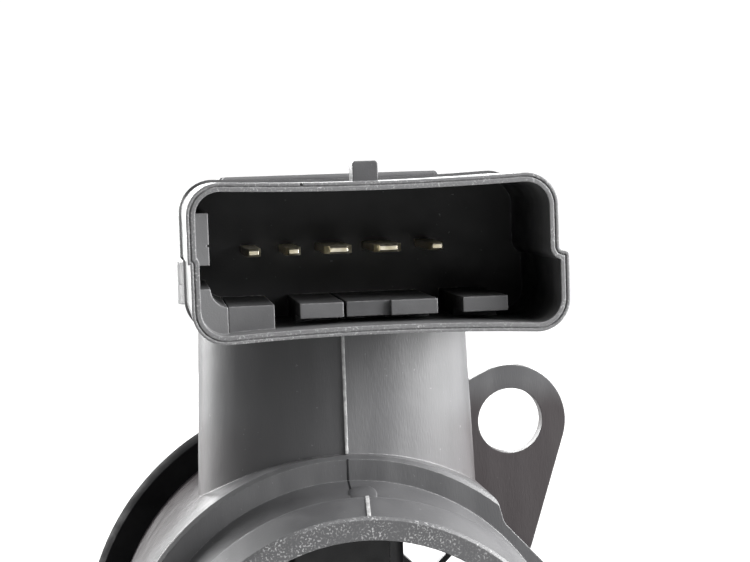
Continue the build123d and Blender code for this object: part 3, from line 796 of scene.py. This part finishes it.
@dataclass(frozen=True)
class Card:
    """A black card, out of the camera's sight, that keeps white off the object. Sizes are in metres."""

    name: str
    azimuth: float
    elevation: float
    width: float
    height: float
    distance: float = 0.64

    def build(self, material: bpy.types.Material) -> None:
        """Adds the card.

        Args:
            material: The black of the cards.
        """
        Bench.clear()
        bpy.ops.mesh.primitive_plane_add(size=1, rotation=(math.pi / 2, 0, math.radians(self.azimuth)))
        card = bpy.context.object
        card.name = self.name
        card.scale = (self.width, self.height, 1)
        card.location = around(self.azimuth, self.elevation, self.distance)
        Bench.settle(card)
        card.visible_camera = False
        card.data.materials.append(material)
        card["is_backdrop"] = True


@dataclass(frozen=True)
class Lamp:
    """A square soft lamp that faces the object.

    Its azimuth runs from -Y towards +X. Angles are in degrees, sizes in metres and power in watts.
    """

    name: str
    azimuth: float
    elevation: float
    power: float
    size: float = 0.3
    distance: float = 0.6

    def build(self) -> None:
        """Adds the lamp, out of the camera's sight."""
        data = bpy.data.lights.new(self.name, "AREA")
        data.size = self.size
        data.energy = self.power
        lamp = bpy.data.objects.new(self.name, data)
        bpy.context.collection.objects.link(lamp)
        lamp.location = around(self.azimuth, self.elevation, self.distance)
        lamp.visible_camera = False
        lamp.rotation_mode = "QUATERNION"
        lamp.rotation_quaternion = (LIT_POINT - lamp.location).to_track_quat("-Z", "Y")


@dataclass
class Studio:
    """The floor, the backdrop, the lamps, the world and the camera."""

    lamps: tuple[Lamp, ...] = (
        Lamp("key_lamp", 65, 15, 9.0),
        Lamp("high_key_lamp", 75, 35, 4.3),
        Lamp("side_lamp", 100, 15, 4.7),
        Lamp("front_lamp", 40, 26, 1.9),
        Lamp("left_rear_lamp", -120, 15, 9.0),
        Lamp("top_lamp", 0, 80, 1.8),
        Lamp("rear_lamp", 180, 12, 2.5),
    )
    cards: tuple[Card, ...] = (
        Card("front_card", 0, 8, 0.8, 0.7),
        Card("left_card", -53, 8, 0.56, 0.6),
    )
    floor_half: float = 1.6
    backdrop_height: float = 1.4
    backdrop_curve: float = 400.0
    curve_steps: int = 12
    world_light: float = 0.0
    shadow_reach: float = 0.12
    white_reach: float = 0.4
    floor_glow: float = 0.6
    floor_tone: float = 0.25
    camera_place: Point = (-19.90, -170.49, 54.25)
    camera_yaw: float = 7.24
    camera_pitch: float = 3.41
    camera_roll: float = 1.90
    camera_lens: float = 86.4
    camera_sensor: float = 36.0
    camera_near: float = 0.01

    def build(self, floor_z: float) -> None:
        """Builds the studio.

        Args:
            floor_z: The height of the floor, in metres.
        """
        self.set_world()
        self.sweep(floor_z)
        for lamp in self.lamps:
            lamp.build()
        self.hang_cards()
        self.camera()
        bpy.context.scene.view_settings.view_transform = "Standard"

    def see_white(self, nodes: bpy.types.Nodes, links: bpy.types.NodeLinks) -> bpy.types.NodeSocket:
        """A value that is 1 for camera, glossy and transmission rays.

        Args:
            nodes: The nodes to add to.
            links: The links to add to.

        Returns:
            The value.
        """
        path = nodes.new("ShaderNodeLightPath")
        total = path.outputs["Is Camera Ray"]
        for name in ("Is Glossy Ray", "Is Transmission Ray"):
            add = nodes.new("ShaderNodeMath")
            add.operation = "MAXIMUM"
            links.new(total, add.inputs[0])
            links.new(path.outputs[name], add.inputs[1])
            total = add.outputs["Value"]
        return total

    def set_world(self) -> None:
        """Shows white to the camera and in reflections, and gives world_light to all other rays."""
        world = bpy.data.worlds.new("studio_world")
        world.use_nodes = True
        bpy.context.scene.world = world
        nodes, links = world.node_tree.nodes, world.node_tree.links
        background = nodes["Background"]
        strength = nodes.new("ShaderNodeMapRange")
        strength.inputs["To Min"].default_value = self.world_light
        strength.inputs["To Max"].default_value = 1.0
        links.new(self.see_white(nodes, links), strength.inputs["Value"])
        links.new(strength.outputs["Result"], background.inputs["Strength"])
        background.inputs["Color"].default_value = (1, 1, 1, 1)

    def sweep(self, floor_z: float) -> None:
        """A pale floor that curves up into a backdrop.

        Args:
            floor_z: The height of the floor, in metres.
        """
        Bench.clear()
        bpy.ops.mesh.primitive_plane_add(size=2 * self.floor_half, location=(0, 0, floor_z))
        sweep = bpy.context.object
        sweep.name = "studio_sweep"
        bpy.ops.object.mode_set(mode="EDIT")
        bpy.ops.mesh.select_all(action="DESELECT")
        bpy.ops.object.mode_set(mode="OBJECT")
        for edge in sweep.data.edges:
            edge.select = all(sweep.data.vertices[v].co.y > 0 for v in edge.vertices)
        bpy.ops.object.mode_set(mode="EDIT")
        bpy.ops.mesh.select_mode(type="EDGE")
        bpy.ops.mesh.extrude_region_move(TRANSFORM_OT_translate={"value": (0, 0, self.backdrop_height)})
        bpy.ops.object.mode_set(mode="OBJECT")
        Bench.settle(sweep)
        Bench.bevel(sweep, self.backdrop_curve, self.curve_steps)
        material = bpy.data.materials.new("studio_white")
        material.use_nodes = True
        nodes, links = material.node_tree.nodes, material.node_tree.links
        shader = nodes["Principled BSDF"]
        shader.inputs["Base Color"].default_value = (self.floor_tone,) * 3 + (1,)
        shader.inputs["Roughness"].default_value = 0.9
        shader.inputs["Specular IOR Level"].default_value = 0.0
        shader.inputs["Emission Color"].default_value = (1, 1, 1, 1)
        reach = nodes.new("ShaderNodeVectorMath")
        reach.operation = "LENGTH"
        links.new(nodes.new("ShaderNodeTexCoord").outputs["Object"], reach.inputs[0])
        glow = nodes.new("ShaderNodeMapRange")
        for name, number in (("From Min", self.shadow_reach), ("From Max", self.white_reach),
                             ("To Min", self.floor_glow), ("To Max", 1.0)):
            glow.inputs[name].default_value = number
        links.new(reach.outputs["Value"], glow.inputs["Value"])
        strength = nodes.new("ShaderNodeMath")
        strength.operation = "MULTIPLY"
        links.new(self.see_white(nodes, links), strength.inputs[0])
        links.new(glow.outputs["Result"], strength.inputs[1])
        links.new(strength.outputs["Value"], shader.inputs["Emission Strength"])
        sweep.data.materials.append(material)
        sweep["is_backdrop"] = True

    def hang_cards(self) -> None:
        """Hangs the black cards round the front of the object."""
        black = bpy.data.materials.new("card_black")
        black.use_nodes = True
        black.node_tree.nodes["Principled BSDF"].inputs["Base Color"].default_value = (0.01, 0.01, 0.01, 1)
        for card in self.cards:
            card.build(black)

    def camera(self) -> None:
        """The camera, a little to the left of the duct and above it."""
        data = bpy.data.cameras.new("camera")
        data.sensor_width = self.camera_sensor
        data.lens = self.camera_lens
        data.clip_start = self.camera_near
        camera = bpy.data.objects.new("camera", data)
        bpy.context.collection.objects.link(camera)
        yaw, pitch = math.radians(self.camera_yaw), math.radians(self.camera_pitch)
        ahead = Vector((math.sin(yaw) * math.cos(pitch), math.cos(yaw) * math.cos(pitch), -math.sin(pitch)))
        roll = Quaternion((0, 0, 1), -math.radians(self.camera_roll))
        camera.rotation_mode = "QUATERNION"
        camera.rotation_quaternion = ahead.to_track_quat("-Z", "Y") @ roll
        camera.location = mm(*self.camera_place)
        bpy.context.scene.camera = camera


def main() -> None:
    """Loads the CAD model, dresses it and sets up the studio."""
    logging.basicConfig(level=logging.INFO, format="%(name)s: %(message)s")
    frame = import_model()
    cad_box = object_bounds()
    Bench.clear()
    wardrobe = Wardrobe(Finishes())
    SensorDress().build(frame, wardrobe)
    MouldMarks().build(wardrobe)
    Studio().build(cad_box[0].z)


if __name__ == "__main__":
    main()
